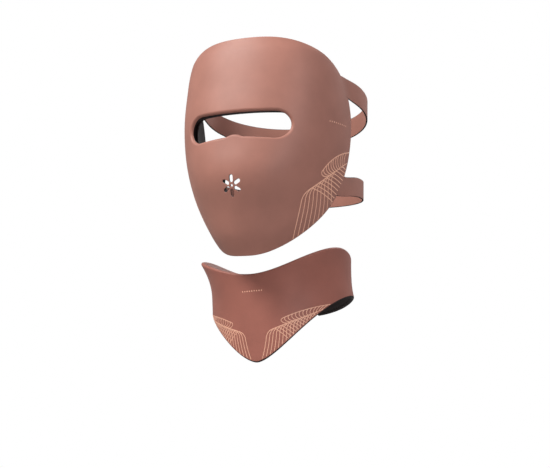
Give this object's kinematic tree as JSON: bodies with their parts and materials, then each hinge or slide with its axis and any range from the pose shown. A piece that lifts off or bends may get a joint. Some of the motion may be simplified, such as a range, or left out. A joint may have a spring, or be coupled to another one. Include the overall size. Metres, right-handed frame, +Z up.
{
  "type": "led face mask",
  "caption": "Soft light-therapy face mask with an eye slot, a breathing vent and swinging head straps, with its matching neck collar that opens at the back.",
  "frame": {"origin": "middle of the underside of the whole set's box, under the collar's bib and below the head", "axes": "+Z up along the worn head, -Y the way the face looks, +X the wearer's left"},
  "size_m": [0.1928, 0.2342, 0.3388],
  "materials": {
    "rose_silicone": "soft matte silicone, fine skin-like grain",
    "lining_silicone": "matte dark brown-black silicone",
    "dark_plastic": "moulded, satin",
    "flex_board": "amber film with copper traces",
    "circuit_board": "green solder mask",
    "battery_foil": "crinkled pouch foil",
    "contact_gold": "plated, satin",
    "light_lens": "milky light pipe"
  },
  "bodies": {
    "neck_collar": {"collar_cover": "rose_silicone", "collar_liner": "lining_silicone", "collar_led_strip_front_upper": "flex_board", "collar_led_strip_front_lower": "flex_board", "collar_led_strip_side_left": "flex_board", "collar_led_strip_side_right": "flex_board", "collar_battery": "battery_foil", "collar_board": "circuit_board", "collar_status_light": "light_lens", "collar_charge_contact": "contact_gold"},
    "face_mask": {"face_cover": "rose_silicone", "face_liner": "lining_silicone", "eye_gasket": "lining_silicone", "nose_pad": "lining_silicone", "led_strip_forehead_upper": "flex_board", "led_strip_forehead_lower": "flex_board", "led_strip_temple_left": "flex_board", "led_strip_temple_right": "flex_board", "led_strip_cheek_left": "flex_board", "led_strip_cheek_right": "flex_board", "led_strip_jaw_left": "flex_board", "led_strip_jaw_right": "flex_board", "led_strip_nose": "flex_board", "led_strip_chin": "flex_board", "side_flex_left": "flex_board", "side_flex_right": "flex_board", "battery": "battery_foil", "control_board": "circuit_board", "status_light": "light_lens", "charge_contact": "contact_gold", "upper_anchor_left": "dark_plastic", "upper_anchor_right": "dark_plastic", "lower_anchor_left": "dark_plastic", "lower_anchor_right": "dark_plastic"},
    "power_button": {"power_button": "dark_plastic"},
    "collar_button": {"collar_button": "dark_plastic"},
    "upper_strap_left": {"upper_strap_left": "rose_silicone", "upper_clasp_left": "dark_plastic"},
    "upper_strap_right": {"upper_strap_right": "rose_silicone", "upper_clasp_right": "dark_plastic"},
    "lower_strap_left": {"lower_strap_left": "rose_silicone", "lower_clasp_left": "dark_plastic"},
    "lower_strap_right": {"lower_strap_right": "rose_silicone", "lower_clasp_right": "dark_plastic"},
    "collar_arm_left": {"collar_arm_cover_left": "rose_silicone", "collar_arm_liner_left": "lining_silicone", "collar_arm_led_strip_left": "flex_board", "collar_clasp_left": "dark_plastic"},
    "collar_arm_right": {"collar_arm_cover_right": "rose_silicone", "collar_arm_liner_right": "lining_silicone", "collar_arm_led_strip_right": "flex_board", "collar_clasp_right": "dark_plastic"}
  },
  "joints": [
    {"name": "face_lift", "type": "slide", "parent": "neck_collar", "child": "face_mask", "axis": [0, 0, 1], "range_m": [0, 0.08]},
    {"name": "upper_strap_left_swing", "type": "hinge", "parent": "face_mask", "child": "upper_strap_left", "pos_m": [0.0882, -0.0211, 0.2948], "axis": [0, 0, -1], "range_deg": [0, 50]},
    {"name": "upper_strap_right_swing", "type": "hinge", "parent": "face_mask", "child": "upper_strap_right", "pos_m": [-0.0882, -0.0211, 0.2948], "axis": [0, 0, 1], "range_deg": [0, 50]},
    {"name": "lower_strap_left_swing", "type": "hinge", "parent": "face_mask", "child": "lower_strap_left", "pos_m": [0.0789, -0.0058, 0.1898], "axis": [0, 0, -1], "range_deg": [0, 20]},
    {"name": "lower_strap_right_swing", "type": "hinge", "parent": "face_mask", "child": "lower_strap_right", "pos_m": [-0.0789, -0.0058, 0.1898], "axis": [0, 0, 1], "range_deg": [0, 20]},
    {"name": "power_button_press", "type": "slide", "parent": "face_mask", "child": "power_button", "axis": [0.9591, 0.2787, -0.0488], "range_m": [0, 0.0006]},
    {"name": "collar_button_press", "type": "slide", "parent": "neck_collar", "child": "collar_button", "axis": [0.9916, 0.1045, 0.0763], "range_m": [0, 0.0003]},
    {"name": "collar_arm_left_swing", "type": "hinge", "parent": "neck_collar", "child": "collar_arm_left", "pos_m": [0.07851, 0.03651, 0.07284], "axis": [0.0767, 0, -0.9971], "range_deg": [0, 40]},
    {"name": "collar_arm_right_swing", "type": "hinge", "parent": "neck_collar", "child": "collar_arm_right", "pos_m": [-0.07851, 0.03651, 0.06076], "axis": [-0.0767, 0, 0.9971], "range_deg": [0, 40]}
  ]
}
